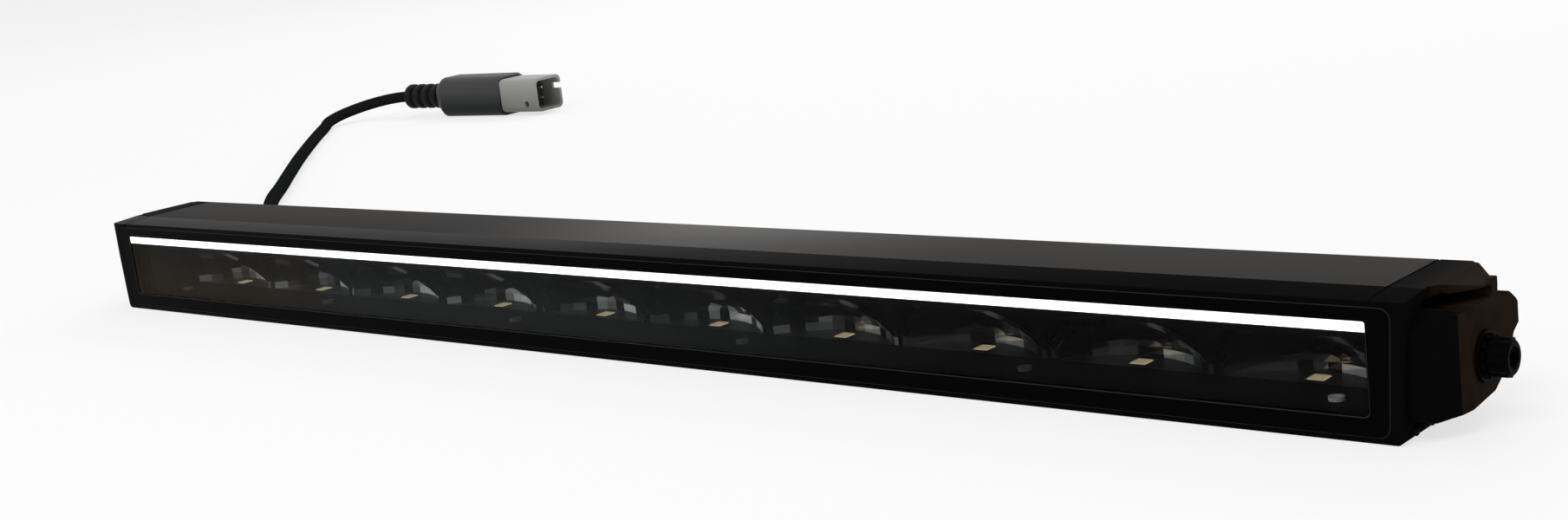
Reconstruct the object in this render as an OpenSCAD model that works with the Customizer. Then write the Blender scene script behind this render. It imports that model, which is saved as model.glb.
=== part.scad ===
// Driving light bar lying on its flat underside, front to -Y, length along X.
// Cross sections are drawn as [depth behind the front face, height].

/* [Overall size] */
// Length over the two end caps, at the top of the front face
bar_length = 540; // [460:5:700]
// Height of the front face
front_height = 34.2; // [33:0.1:40]
// Rise of the flat top above the front face
top_rise = 0.8; // [0.4:0.1:2]
// Depth of the housing behind the front face, fins included
housing_depth = 41; // [40:0.5:50]
// Depth of the sloping band between the front lip and the flat top
bevel_depth = 11; // [6:0.5:16]
// How far each end leans in from top to bottom
end_rake = 2; // [0:0.1:3]

/* [Housing extrusion] */
// Thickness of the top wall
top_wall = 2.4; // [1.8:0.1:2.8]
// Thickness of the bottom wall
bottom_wall = 2.4; // [1.8:0.1:2.6]
// Thickness of the rear wall between its fins
rear_wall = 1.8; // [1.4:0.1:2.4]
// Thickness of the lips above and below the bezel
lip = 1.2; // [0.8:0.1:1.6]
// Depth of the cooling fins
fin_depth = 1.6; // [1:0.1:2.2]
// Width of one fin
fin_width = 1.6; // [1:0.1:2.4]
// Fin spacing
fin_pitch = 4.4; // [3.6:0.1:6]
// Radius of the housing's rear corners
corner_r = 2; // [1:0.1:3]

/* [End caps] */
// Thickness of an end cap at the top
cap_t = 8.5; // [7:0.5:12]
// Thickness of the gasket under an end cap
cap_gasket_t = 0.8; // [0.5:0.1:1.5]
// How far the cast boss stands out past the cap
boss_out = 9; // [6:0.5:14]
// How far the boss reaches behind the housing
boss_behind = 2.4; // [0:0.2:4]
// Width of the cap rim beside the bezel
cap_rim = 3.2; // [2.4:0.1:5]
// Clearance round pieces that drop into a recess
fit_gap = 0.15; // [0.1:0.05:0.3]

/* [Side bolts] */
// Radius of the bolt shank
bolt_r = 2.5; // [2:0.25:4]
// Radius of the socket head
bolt_head_r = 4.4; // [4:0.1:6]
// Height of the socket head
bolt_head_h = 5; // [4:0.5:8]
// Thickness of the plain washer
washer_t = 1; // [0.8:0.1:2]
// Thickness of the toothed washer
tooth_washer_t = 1; // [0.6:0.1:1.6]
// Height of the bolt above the underside
bolt_z = 17; // [15:0.5:18]
// Depth of the bolt behind the front face
bolt_y = 21.5; // [20:0.5:24]

/* [Front window] */
// Thickness of the bezel
bezel_t = 2; // [1.6:0.1:2.6]
// Thickness of the lens flange behind the bezel
flange_t = 2; // [1.5:0.1:2.6]
// Thickness of the seal behind the flange
seal_t = 0.8; // [0.5:0.1:1.2]
// How deep the lens face sits in the bezel
lens_recess = 0.5; // [0.2:0.1:0.8]
// Length of border left and right of the window
side_border = 10; // [8:0.5:14]
// Height of border below the window
bottom_border = 6.3; // [6.1:0.1:6.6]
// Height of border above the window
top_border = 5; // [4.8:0.1:5.4]
// Height of the white light strip
strip_h = 2.4; // [1.8:0.1:2.6]
// Depth of the light guide behind its front face
guide_depth = 8.2; // [7:0.1:9]

/* [Reflectors and LEDs] */
// Spacing of the reflectors
reflector_pitch = 51.5; // [46:0.5:56]
// Gap between neighbouring bowls
bowl_gap = 1.7; // [1:0.1:3]
// Height of the upright band round the foot of a bowl
skirt_h = 2.8; // [1:0.2:5]
// Gap between the bowls and the ceiling trim
bowl_head_gap = 1; // [0.6:0.1:3]
// Depth of a bowl along the floor
bowl_floor_depth = 10.8; // [9:0.2:11.4]
// Depth of a bowl along its top
bowl_top_depth = 21; // [16:0.5:23]
// Wall of a bowl
bowl_wall = 1.4; // [1:0.1:1.6]
// Facets round one bowl
facet_count_round = 12; // [8:2:16]
// Facets from the back of a bowl to its mouth
facet_count_deep = 6; // [3:1:7]
// Edge of a square LED package
led_size = 5; // [3.5:0.5:6]
// Distance of the LEDs in front of the bowls' back
led_inset = 5.3; // [4.5:0.1:6]

/* [Inner pieces] */
// Thickness of the LED board
led_board_t = 1.6; // [1:0.1:1.6]
// Thickness of the pad under the LED board
pad_t = 0.3; // [0.2:0.1:0.5]
// Thickness of the floor and ceiling trims
trim_t = 1.2; // [0.8:0.1:1.2]
// Height of the shelf between the ceiling trim and the light guide
shelf_h = 1.65; // [1.4:0.05:2]
// Distance of the outer trim screws from the ends of the window
trim_inset = 14.8; // [10:0.2:20]
// Length of the driver board
driver_length = 130; // [100:5:150]
// Distance of the driver board from the cable gland
driver_inset = 11; // [9:0.5:30]
// Thickness of the driver board and the strip board
board_t = 1.4; // [1:0.1:1.6]

/* [Cable exit] */
// Height of the cable gland
gland_z = 14.5; // [14:0.1:16]
// Radius of the gland's thread
gland_r = 6; // [5:0.25:6.5]
// Width over the flats of the gland's hexagons
gland_flats = 15; // [14:0.5:16]
// Length of the gland's outer hexagon
gland_hex_t = 4; // [3:0.5:6]
// Length of the gland's domed nut
gland_nut_t = 12; // [8:0.5:16]
// Length of the tapered strain relief
relief_length = 28; // [20:1:50]
// Diameter of the cable
cable_d = 7; // [6:0.1:7.4]

/* [Plug] */
// Length of the ringed boot
boot_length = 33; // [24:1:40]
// Length of the moulded body
body_length = 61; // [45:1:80]
// Width of the moulded body
body_w = 27; // [24:0.5:32]
// Height of the moulded body
body_h = 25.4; // [24:0.2:26]
// Length of the grey shell past the body
shell_length = 31; // [20:1:36]
// Wall of the grey shell
shell_wall = 1.8; // [1.2:0.1:2.4]

/* [Hidden] */
$fn = 48;
e = 0.01;

top_height = front_height + top_rise;
total_depth = housing_depth + boss_behind;
front_y = -total_depth / 2;
half_bar = bar_length / 2;
cap_inner = half_bar - cap_t;
housing_end = cap_inner - cap_gasket_t;
cavity_top = top_height - top_wall;
rear_inner = housing_depth - fin_depth - rear_wall;
rear_face = housing_depth - fin_depth;

// Front stack, from the bezel face inwards
bezel_low = lip + fit_gap;
bezel_high = front_height - lip - fit_gap;
flange_inset = 0.4;
flange_back = bezel_t + flange_t;
seat_y = flange_back + seal_t;
seat_rib_t = 1.5;
seat_rib_h = 1.2;
window_half = half_bar - side_border;
window_bottom = bottom_border;
window_top = front_height - top_border;
window_r = [1.4, 1.4, 0.6, 0.6];
bezel_r = 3;
guide_top = window_top - fit_gap;
strip_low = guide_top - strip_h;
ceiling_top = strip_low - shelf_h;
ceiling_z = ceiling_top - trim_t;

// Light strip
guide_front = lens_recess;
guide_back = guide_front + guide_depth;
strip_led_t = 0.7;
strip_board_y = guide_back + 0.2 + strip_led_t;
holder_rib_t = 0.9;
holder_back = strip_board_y + board_t + 0.1 + holder_rib_t;
guide_half = window_half - fit_gap;

// Screw ports of the housing, as [depth, height, hole radius, boss radius]
port_r = 1.25;
port_wall = 1.4;
head_r = 2.4;
head_h = 1.9;
screw_length = 16;
port_out = port_r + port_wall;
top_port_z = cavity_top - port_out + 0.3;
low_port_z = 2.5;
low_port_r = 1;
low_port_out = low_port_r + port_wall;
floor_z = bottom_wall + pad_t + led_board_t + trim_t;
port_low_top = floor_z - trim_t;

// Posts of the floor trim stand between the two lower ports
screw_tap_r = 1;
post_r = screw_tap_r + 0.8;
post_gap = 0.1;
low_port_y = seat_y + seat_rib_t + 0.2 + low_port_out;
trim_screw_y = low_port_y + low_port_out + post_gap + post_r;
ports = [
    [holder_back + 0.85 + port_out, top_port_z, port_r],
    [rear_inner - port_out, top_port_z, port_r],
    [low_port_y, low_port_z, low_port_r],
    [trim_screw_y + post_r + post_gap + low_port_out, low_port_z, low_port_r]
];
head_seat = cap_inner + 4;

// Optics
led_z = floor_z - trim_t;
board_low = led_z - led_board_t;
reflector_count = floor((2 * window_half - bowl_gap) / reflector_pitch);
bowl_half = (reflector_pitch - bowl_gap) / 2 - bowl_wall;
bowl_back = rear_inner - bowl_wall - 0.4;
plate_t = 1;
plate_z = led_z + plate_t;
plate_front = bowl_back - bowl_floor_depth;
bowl_sink = 0.3;
bowl_h = ceiling_z - bowl_head_gap - bowl_wall - plate_z + bowl_sink;
led_y = bowl_back - led_inset;
led_x = [for (i = [0 : reflector_count - 1]) (i - (reflector_count - 1) / 2) * reflector_pitch];
cusp_x = [for (i = [1 : 2 : reflector_count - 1]) (led_x[i - 1] + led_x[i]) / 2];
row_half = reflector_count * reflector_pitch / 2;
trim_end = window_half - trim_inset;
trim_x = concat(
    [-trim_end],
    [for (i = [2 : 2 : reflector_count - 1]) (led_x[i - 1] + led_x[i]) / 2],
    [trim_end]
);
floor_front = seat_y + 0.1;
floor_back = plate_front - 0.6;

// Driver board, between the two upper screw ports
driver_gap = 1.25;
driver_y0 = ports[0][0] + port_out + driver_gap;
driver_y1 = ports[1][0] - port_out - driver_gap;
driver_z = ceiling_top + 0.6;

// Cable exit and the cable's route over the ground, by hand
exit_i = 0;
gland_x = cusp_x[exit_i];
hex_r = gland_flats / 2 / cos(30);
relief_y0 = rear_face + gland_hex_t + gland_nut_t;
relief_end = relief_y0 + relief_length;
sheath_end = rear_inner - 5;
vent_x = cusp_x[len(cusp_x) - 1];
vent_r = 4;
spot_extra = 1.6;
cable_sides = 10;
plug_axis_z = body_h / 2;
plug_start = [-628.5, 417.5, plug_axis_z];
plug_turn = 4;
route = [
    [gland_x, front_y + relief_end, gland_z],
    [gland_x, 72, 14.2],
    [-208.5, 85, 13],
    [-216, 96, 11],
    [-228, 103.5, 8.5],
    [-242, 107, 6.2],
    [-262, 107, 4.3],
    [-288, 104, 3.6],
    [-316, 102, 3.6],
    [-344, 106, 3.6],
    [-370, 118, 3.6],
    [-395, 136, 3.6],
    [-420, 156, 3.6],
    [-447, 180, 3.6],
    [-484, 212, 3.6],
    [-527, 249.5, 3.6],
    [-561, 280, 3.6],
    [-596.5, 312.5, 3.6],
    [-618, 332.5, 3.6],
    [-638, 351.5, 3.6],
    [-655, 367.5, 4.2],
    [-661, 382, 6.2],
    [-659.5, 396, 8.6],
    [-652.5, 407.5, 10.8],
    [-641, 415, 12.3],
    plug_start
];

// Outline helpers
function unit(v) = v / norm(v);
function turn_of(a, b) = let (d = b - a) d > 180 ? d - 360 : d < -180 ? d + 360 : d;
function fillet(p, q, s, r, n) =
    r <= 0 ? [q] :
    let (
        u = unit(p - q),
        v = unit(s - q),
        half = acos(u * v) / 2,
        c = q + unit(u + v) * r / sin(half),
        t0 = q + u * r / tan(half) - c,
        t1 = q + v * r / tan(half) - c,
        a0 = atan2(t0[1], t0[0]),
        turn = turn_of(a0, atan2(t1[1], t1[0]))
    )
    [for (i = [0 : n]) c + r * [cos(a0 + turn * i / n), sin(a0 + turn * i / n)]];
function rounded(pts, r, n = 5) =
    let (k = len(pts))
    [for (i = [0 : k - 1])
        each fillet(pts[(i + k - 1) % k], pts[i], pts[(i + 1) % k], is_list(r) ? r[i] : r, n)];

// Half length of the lamp at a height, following the raked ends
function half_at(z) = half_bar - end_rake * (front_height - z) / front_height;
function raked(inset, z0, z1) = [
    [-half_at(z0) + inset, z0],
    [half_at(z0) - inset, z0],
    [half_at(z1) - inset, z1],
    [-half_at(z1) + inset, z1]
];
function box2(x0, y0, x1, y1) = [[x0, y0], [x1, y0], [x1, y1], [x0, y1]];

// Extrusions along each axis, all measured from the front face
module in_place() translate([0, front_y, 0]) children();
module along_x(x0, x1) translate([x0, 0, 0]) rotate([90, 0, 90]) linear_extrude(x1 - x0) children();
module along_y(y0, y1) translate([0, y1, 0]) rotate([90, 0, 0]) linear_extrude(y1 - y0) children();
module along_z(z0, z1) translate([0, 0, z0]) linear_extrude(z1 - z0) children();
module rod_x(x0, x1, y, z, r) translate([x0, y, z]) rotate([0, 90, 0]) cylinder(h = x1 - x0, r = r);
module rod_y(x, y0, y1, z, r) translate([x, y0, z]) rotate([-90, 0, 0]) cylinder(h = y1 - y0, r = r);
module rod_z(x, y, z0, z1, r) translate([x, y, z0]) cylinder(h = z1 - z0, r = r);
module block(x0, x1, y0, y1, z0, z1) translate([x0, y0, z0]) cube([x1 - x0, y1 - y0, z1 - z0]);
module both_ends() {
    children();
    mirror([1, 0, 0]) children();
}

// Tube swept along a line of points, with the direction of each end given
function quad(a, b, c, d) = [[a, b, c], [a, c, d]];
function way(line, i, first, last) =
    i == 0 ? first : i == len(line) - 1 ? last : unit(line[i + 1] - line[i - 1]);
function ring(p, t, r, sides, above) =
    let (side = unit(cross(t, above)), up = cross(side, t))
    [for (k = [0 : sides - 1])
        let (a = 360 * (k + 0.5) / sides)
        p + r * (cos(a) * side + sin(a) * up)];
module tube(line, first, last, r, sides, above = [0, 0, 1]) {
    n = len(line);
    polyhedron(
        points = [for (i = [0 : n - 1]) each ring(line[i], way(line, i, first, last), r, sides, above)],
        faces = concat(
            [[for (k = [sides - 1 : -1 : 0]) k]],
            [[for (k = [0 : sides - 1]) (n - 1) * sides + k]],
            [for (i = [0 : n - 2], k = [0 : sides - 1])
                let (a = i * sides, next = (k + 1) % sides)
                each quad(a + k, a + next, a + sides + next, a + sides + k)]
        )
    );
}

// Section outline shared by the housing and the end caps
function body_outline(back) = rounded(
    [[0, 0], [back, 0], [back, top_height], [bevel_depth, top_height], [0, front_height]],
    [0.5, corner_r + 1, corner_r, 0, 0.4]
);

// Aluminium extrusion, open to the front
module housing_section() {
    difference() {
        polygon(body_outline(housing_depth));
        polygon(box2(-e, lip, seat_y, front_height - lip));
        polygon(box2(seat_y - e, bottom_wall + seat_rib_h, seat_y + seat_rib_t, cavity_top - seat_rib_h));
        polygon(rounded(
            box2(seat_y + seat_rib_t - e, bottom_wall, rear_inner, cavity_top), [0, 0.6, 1, 0]));
        for (z = [fin_pitch : fin_pitch : top_height - fin_pitch])
            translate([rear_face, z])
                polygon(rounded(box2(0, 0, fin_depth + e, fin_pitch - fin_width), [0.3, 0, 0, 0.3], 3));
    }
    for (p = ports)
        port_boss(p);
}

module port_boss(p) {
    r = p[2] + port_wall;
    low = p[1] < top_height / 2;
    difference() {
        union() {
            if (!low)
                translate([p[0], p[1]]) circle(r);
            translate([p[0] - r, low ? e : p[1]])
                square([2 * r, low ? port_low_top - e : cavity_top - p[1] + e]);
        }
        translate([p[0], p[1]]) circle(p[2]);
    }
}

module housing() color([0.06, 0.06, 0.065]) in_place() difference() {
    along_x(-housing_end, housing_end) housing_section();
    for (p = ports)
        rod_x(-housing_end - e, housing_end + e, p[0], p[1], p[2]);
    rod_y(gland_x, rear_inner - 1, housing_depth + 1, gland_z, gland_r);
    rod_y(gland_x, rear_face, housing_depth + 1, gland_z, hex_r + spot_extra);
    rod_y(vent_x, rear_inner - 1, housing_depth + 1, gland_z, vent_r);
    rod_y(vent_x, rear_face, housing_depth + 1, gland_z, vent_r + 2 + spot_extra);
    for (x = cusp_x)
        rod_z(x, reflector_screw_y, bottom_wall - 1.4, bottom_wall + 1, screw_tap_r);
    for (x = trim_x)
        rod_z(x, trim_screw_y, bottom_wall - 1.4, bottom_wall + 1, screw_tap_r);
}

// Cast end caps: raked outer face, rounded front edge, groove under the top
// plate, and a faceted boss that carries the side bolt
boss_low = 4.6;
boss_high = top_height - 4;
boss_front = 2;
groove_high = top_height - 2.6;
groove_low = groove_high - 3;
groove_depth = 2.6;
cap_front_r = 2.6;
cap_chamfer = 3;
boss_face = half_bar + boss_out;
insert_r = bolt_r + 1.8;
insert_length = 11;
pocket_front = ports[3][0] + low_port_out + 4.1;
brim_edge = half_bar + 1.6;
lug_y = housing_depth - 11.8;

module cap_plan() {
    polygon(rounded([
        [cap_inner, 0],
        [half_bar + 1, 0],
        [half_bar + 1, housing_depth - cap_chamfer],
        [half_bar + 1 - cap_chamfer, housing_depth - 0.4],
        [cap_inner, housing_depth - 0.4]
    ], [0, cap_front_r, 1.5, 0.6, 0]));
}

// Boss seen from the end: round above, drawn in below, with a rear shoulder
module boss_outline() {
    polygon(rounded([
        [boss_front, boss_low + 2],
        [boss_front + 3, boss_low],
        [housing_depth - 27, boss_low + 1.4],
        [housing_depth - 14.4, boss_low + 2.6],
        [housing_depth - 10, boss_low + 5],
        [housing_depth - 3.4, boss_low + 11],
        [housing_depth - 2.8, boss_high - 12.8],
        [total_depth, boss_high - 10],
        [total_depth, boss_high - 7.6],
        [total_depth - 2.8, boss_high - 4.8],
        [housing_depth - 4.4, boss_high - 2],
        [housing_depth - 8.6, boss_high],
        [boss_front + 6, boss_high],
        [boss_front, boss_high - 5]
    ], [2, 2, 6, 4, 5, 3, 2, 1, 1, 3, 3, 3, 3, 3], 4));
}

module boss_plan() {
    polygon(rounded([
        [cap_inner + 2, boss_front - 1],
        [half_bar + 0.6, boss_front - 1],
        [boss_face - 1.2, boss_front + 9],
        [boss_face, boss_front + 12],
        [boss_face, total_depth - 1.6],
        [boss_face - 2, total_depth],
        [half_bar - 3, total_depth],
        [half_bar - 3, housing_depth - 1],
        [cap_inner + 2, housing_depth - 1]
    ], [0, 2, 2, 1.5, 0.6, 0.6, 0.5, 0, 0], 3));
}

module boss_elevation() {
    polygon(rounded([
        [cap_inner + 2, 1.2],
        [half_at(0) - 1, 1.2],
        [boss_face, boss_low],
        [boss_face, boss_high - 2.4],
        [boss_face - 2.6, boss_high + 0.4],
        [cap_inner + 2, boss_high + 0.4]
    ], [0, 2, 1.2, 2, 1.5, 0], 3));
}

// Sloping brim of the cap over the boss, with its rear corner cut off
module brim() intersection() {
    along_z(groove_high - 0.6, top_height) polygon(rounded([
        [half_bar - 5, 13],
        [half_bar, 13],
        [boss_face - 1, lug_y - 5],
        [boss_face - 1, lug_y + 1.3],
        [half_bar + 1.4, housing_depth - 3],
        [half_bar - 5, housing_depth - 3]
    ], [0, 4, 3, 2, 2, 0], 3));
    along_y(0, housing_depth) polygon([
        [half_bar - 5, groove_high],
        [boss_face, groove_high - 0.6],
        [boss_face, groove_high + 0.2],
        [brim_edge, top_height],
        [half_bar - 5, top_height]
    ]);
}

module end_cap() {
    difference() {
        union() {
            intersection() {
                along_x(cap_inner, half_bar + 2) polygon(body_outline(housing_depth));
                along_y(-1, housing_depth + 1)
                    polygon(rounded(concat(
                        [[cap_inner, 0], [half_at(0), 0], [half_at(front_height), front_height]],
                        [[half_at(front_height), top_height + 1], [cap_inner, top_height + 1]]
                    ), [0, 2, 0, 0, 0]));
                along_z(-1, top_height + 1) cap_plan();
            }
            intersection() {
                along_x(cap_inner + 2, boss_face + 1) boss_outline();
                along_z(0, top_height) boss_plan();
                along_y(0, total_depth + 1) boss_elevation();
            }
            brim();
            along_x(half_bar + 1, boss_face - 0.8)
                polygon(rounded(box2(lug_y, boss_high - 4, lug_y + 3.2, top_height - 1.4), 0.6, 3));
        }
        // Recess for the ends of the bezel, the lens and its seal
        along_y(-1, seat_y)
            polygon(rounded([
                [0, lip],
                [half_at(lip) - cap_rim + fit_gap, lip],
                [half_at(front_height - lip) - cap_rim + fit_gap, front_height - lip],
                [0, front_height - lip]
            ], [0, bezel_r + fit_gap, bezel_r + fit_gap, 0]));
        // Groove under the top plate
        along_z(groove_low, groove_high)
            polygon(rounded(box2(half_bar - groove_depth, 9, boss_face + 1, lug_y - 0.8), [1, 0, 0, 1], 4));
        rod_x(boss_face - insert_length, boss_face + 1, bolt_y, bolt_z, insert_r);
        rod_x(boss_face - insert_length - 4, boss_face, bolt_y, bolt_z, bolt_r + 0.2);
        for (p = ports) {
            rod_x(cap_inner - 1, boss_face + 1, p[0], p[1], p[2] + 0.3);
            rod_x(head_seat, boss_face + 1, p[0], p[1], head_r + 0.3);
        }
        // Weight pocket in the joint face
        along_x(cap_inner - 1, cap_inner + 2.4)
            polygon(rounded(box2(pocket_front, port_low_top + 2, rear_inner - 1, ceiling_z), 2));
    }
}

module end_cap_right() color([0.05, 0.05, 0.055]) in_place() end_cap();
module end_cap_left() color([0.05, 0.05, 0.055]) in_place() mirror([1, 0, 0]) end_cap();

// Die-cut gaskets between the extrusion and the caps
module cap_gaskets() color([0.02, 0.02, 0.02]) in_place() both_ends() difference() {
    along_x(housing_end, cap_inner) polygon(body_outline(housing_depth - fin_depth - 0.2));
    along_x(housing_end - 1, cap_inner + 1) {
        polygon(box2(-1, lip, seat_y, front_height - lip));
        polygon(rounded(box2(seat_y - e, port_low_top + 1, rear_inner - 0.5, top_port_z - port_out - 1), 1));
    }
    for (p = ports)
        rod_x(housing_end - 1, cap_inner + 1, p[0], p[1], p[2] + 0.3);
}

module cap_screw(p) difference() {
    union() {
        rod_x(head_seat - screw_length, head_seat, p[0], p[1], p[2]);
        rod_x(head_seat, head_seat + head_h, p[0], p[1], head_r);
    }
    translate([head_seat + head_h - 1.1, p[0], p[1]])
        rotate([0, 90, 0]) cylinder(h = 2, r = 1.15, $fn = 6);
}
module cap_screws() color([0.1, 0.1, 0.1]) in_place() both_ends() for (p = ports) cap_screw(p);

// Steel thread inserts cast into the bosses
module boss_inserts() color([0.55, 0.53, 0.48]) in_place() both_ends() difference() {
    rod_x(boss_face - insert_length, boss_face, bolt_y, bolt_z, insert_r);
    rod_x(boss_face - insert_length - 1, boss_face + 1, bolt_y, bolt_z, bolt_r);
}

// Side bolt with its washers, ready to clamp a bracket leg
washer_face = boss_face + washer_t;
head_face = washer_face + tooth_washer_t;
washer_r = bolt_head_r + 1.9;
tooth_count = 12;

module plain_washers() color([0.12, 0.12, 0.12]) in_place() both_ends() difference() {
    rod_x(boss_face, washer_face, bolt_y, bolt_z, washer_r);
    rod_x(boss_face - 1, washer_face + 1, bolt_y, bolt_z, bolt_r + 0.2);
}

module toothed_washers() color([0.1, 0.1, 0.1]) in_place() both_ends() difference() {
    rod_x(washer_face, head_face, bolt_y, bolt_z, bolt_head_r + 0.9);
    rod_x(washer_face - 1, head_face + 1, bolt_y, bolt_z, bolt_r + 0.2);
    translate([washer_face - 1, bolt_y, bolt_z]) rotate([0, 90, 0])
        for (i = [0 : tooth_count - 1])
            rotate([0, 0, i * 360 / tooth_count])
                translate([bolt_head_r - 0.4, -0.5, 0]) cube([3, 1, tooth_washer_t + 2]);
}

module side_bolts() color([0.08, 0.08, 0.08]) in_place() both_ends()
    translate([head_face, bolt_y, bolt_z]) rotate([0, 90, 0]) difference() {
        rotate_extrude() polygon([
            [0, -insert_length - tooth_washer_t - washer_t],
            [bolt_r - 0.5, -insert_length - tooth_washer_t - washer_t],
            [bolt_r, -insert_length - tooth_washer_t - washer_t + 0.5],
            [bolt_r, 0],
            [bolt_head_r, 0],
            [bolt_head_r, bolt_head_h - 0.5],
            [bolt_head_r - 0.5, bolt_head_h],
            [0, bolt_head_h]
        ]);
        translate([0, 0, bolt_head_h - 3]) cylinder(h = 4, r = 2.5 / cos(30), $fn = 6);
    }

// Black bezel that frames the window
module bezel() color([0.012, 0.012, 0.013]) in_place() difference() {
    along_y(0, bezel_t) polygon(rounded(raked(cap_rim, bezel_low, bezel_high), bezel_r));
    along_y(-1, bezel_t + 1)
        polygon(rounded(box2(-window_half, window_bottom, window_half, window_top), window_r));
}

module flange_outline() {
    polygon(rounded(
        raked(cap_rim + flange_inset, bezel_low + flange_inset, bezel_high - flange_inset), bezel_r));
}

// Smoked lens: a raised window in the bezel, a flange behind it, and a slot
// through which the light guide comes to the face
module lens() color([0.1, 0.1, 0.1, 0.55]) in_place() difference() {
    union() {
        along_y(bezel_t, flange_back)
            flange_outline();
        along_y(lens_recess, bezel_t + e)
            polygon(rounded(box2(
                -window_half + fit_gap, window_bottom + fit_gap,
                window_half - fit_gap, window_top - fit_gap), window_r));
    }
    along_y(-1, flange_back + 1)
        polygon(box2(-guide_half - e, strip_low - fit_gap, guide_half + e, window_top + e));
}

module lens_seal() color([0.015, 0.015, 0.015]) in_place() difference() {
    along_y(flange_back, seat_y)
        flange_outline();
    along_y(flange_back - 1, seat_y + 1)
        polygon(rounded(box2(
            -window_half - 1, bottom_wall + seat_rib_h - 0.4,
            window_half + 1, cavity_top - seat_rib_h + 0.4), window_r));
}

// White bar that shows as the position light line
module light_guide() color([0.97, 0.97, 0.95]) in_place()
    block(-guide_half + 0.1, guide_half - 0.1, guide_front, guide_back, strip_low, guide_top);

// Ceiling trim with the shelf that carries the light guide and the strip board
module guide_holder() color([0.02, 0.02, 0.02]) in_place() difference() {
    along_x(-housing_end + 0.4, housing_end - 0.4) {
        polygon(box2(floor_front, ceiling_z, rear_inner - 0.2, ceiling_top));
        polygon(box2(floor_front, ceiling_top - e, guide_back, strip_low));
        polygon(box2(holder_back - holder_rib_t, ceiling_top - e, holder_back, strip_low + 1));
    }
    block(gland_x - 4, gland_x + 4, driver_y1 - 6, driver_y1 + 2, ceiling_z - 1, ceiling_top + 1);
    for (s = driver_screw_x)
        rod_z(s, driver_mid_y, ceiling_z - 1, ceiling_top + 1, screw_tap_r);
}

// Upper clip that closes the light channel
cover_front = seat_y + seat_rib_t + 0.1;
module guide_cover() color([0.02, 0.02, 0.02]) in_place()
    along_x(-housing_end + 0.4, housing_end - 0.4) {
        polygon(box2(cover_front, guide_top, guide_back, guide_top + trim_t));
        polygon(box2(cover_front, guide_top + trim_t - e, cover_front + 1.2, cavity_top - 0.1));
    }

strip_led_pitch = 13;
strip_led_count = floor(2 * guide_half / strip_led_pitch);
module strip_board() color([0.1, 0.25, 0.12]) in_place()
    translate([0, strip_board_y, 0])
        block(-guide_half, guide_half, 0, board_t, ceiling_top + 0.1, window_top + 0.6);

module strip_leds() color([0.95, 0.95, 0.85]) in_place()
    for (i = [0 : strip_led_count - 1])
        translate([(i - (strip_led_count - 1) / 2) * strip_led_pitch, strip_board_y, strip_low + strip_h / 2])
            block(-1.4, 1.4, -strip_led_t, 0, -0.8, 0.8);

// Faceted bowls: one thin shell each, standing on a common base plate. Points run
// from the left foot over the dome to the right foot, with an upright band below.
bowl_n = facet_count_deep;
bowl_m = facet_count_round + 3;
function on_foot(j) = j == 0 || j == bowl_m - 1;
function bowl_point(cx, i, j, grow) =
    let (rho = i / bowl_n, a = 180 * max(0, min(facet_count_round, j - 1)) / facet_count_round)
    let (reach = bowl_floor_depth + (bowl_top_depth - bowl_floor_depth) * sin(a))
    [
        cx + (bowl_half + grow) * rho * cos(a),
        bowl_back + grow - (reach + grow) * rho * rho,
        plate_z - bowl_sink + (on_foot(j) ? 0 : skirt_h + (bowl_h - skirt_h + grow) * rho * sin(a))
    ];
function at(i, j) = i == 0 ? (on_foot(j) ? 0 : 1) : 2 + (i - 1) * bowl_m + j;
function skin_points(cx, grow) = concat(
    [bowl_point(cx, 0, 0, grow), bowl_point(cx, 0, 1, grow)],
    [for (i = [1 : bowl_n], j = [0 : bowl_m - 1]) bowl_point(cx, i, j, grow)]
);
function turned(f, back) = back ? [f[3], f[2], f[1], f[0]] : f;

module bowl_shell(cx) {
    k = 2 + bowl_n * bowl_m;
    last = bowl_m - 1;
    outer = [for (j = [0 : last - 1], i = [0 : bowl_n - 1])
        each i == 0 && j > 0 && j < last - 1
            ? [[k + 1, k + at(1, j), k + at(1, j + 1)]]
            : quad(k + at(i, j), k + at(i + 1, j), k + at(i + 1, j + 1), k + at(i, j + 1))];
    inner = [for (f = outer) [f[0] - k, f[2] - k, f[1] - k]];
    mouth = [for (j = [0 : last - 1])
        each quad(at(bowl_n, j), at(bowl_n, j + 1), k + at(bowl_n, j + 1), k + at(bowl_n, j))];
    foot = [for (i = [0 : bowl_n - 1], j = [0, last])
        turned([at(i, j), at(i + 1, j), k + at(i + 1, j), k + at(i, j)], j > 0)];
    polyhedron(
        points = concat(skin_points(cx, 0), skin_points(cx, bowl_wall)),
        faces = concat(outer, inner, mouth, foot)
    );
}

reflector_screw_y = bowl_back - 1.5;
module led_block(x, half, z0, z1) block(x - half, x + half, led_y - half, led_y + half, z0, z1);
module reflectors() color([0.8, 0.8, 0.8]) in_place() {
    difference() {
        block(-row_half + 0.5, row_half - 0.5, plate_front, rear_inner - 0.2, led_z, plate_z);
        for (x = led_x)
            led_block(x, led_size / 2 + 0.3, led_z - 1, plate_z + 1);
        for (x = cusp_x)
            rod_z(x, reflector_screw_y, led_z - 1, plate_z + 1, screw_tap_r + 0.2);
    }
    for (x = led_x)
        bowl_shell(x);
}

module small_screw(x, y, seat, tip) {
    rod_z(x, y, tip, seat, screw_tap_r);
    difference() {
        rod_z(x, y, seat, seat + 1, 2);
        translate([x, y, seat + 0.5]) cylinder(h = 1, r = 1, $fn = 6);
    }
}
module reflector_screws() color([0.5, 0.5, 0.5]) in_place()
    for (x = cusp_x) small_screw(x, reflector_screw_y, plate_z, bottom_wall - 1.2);

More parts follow.
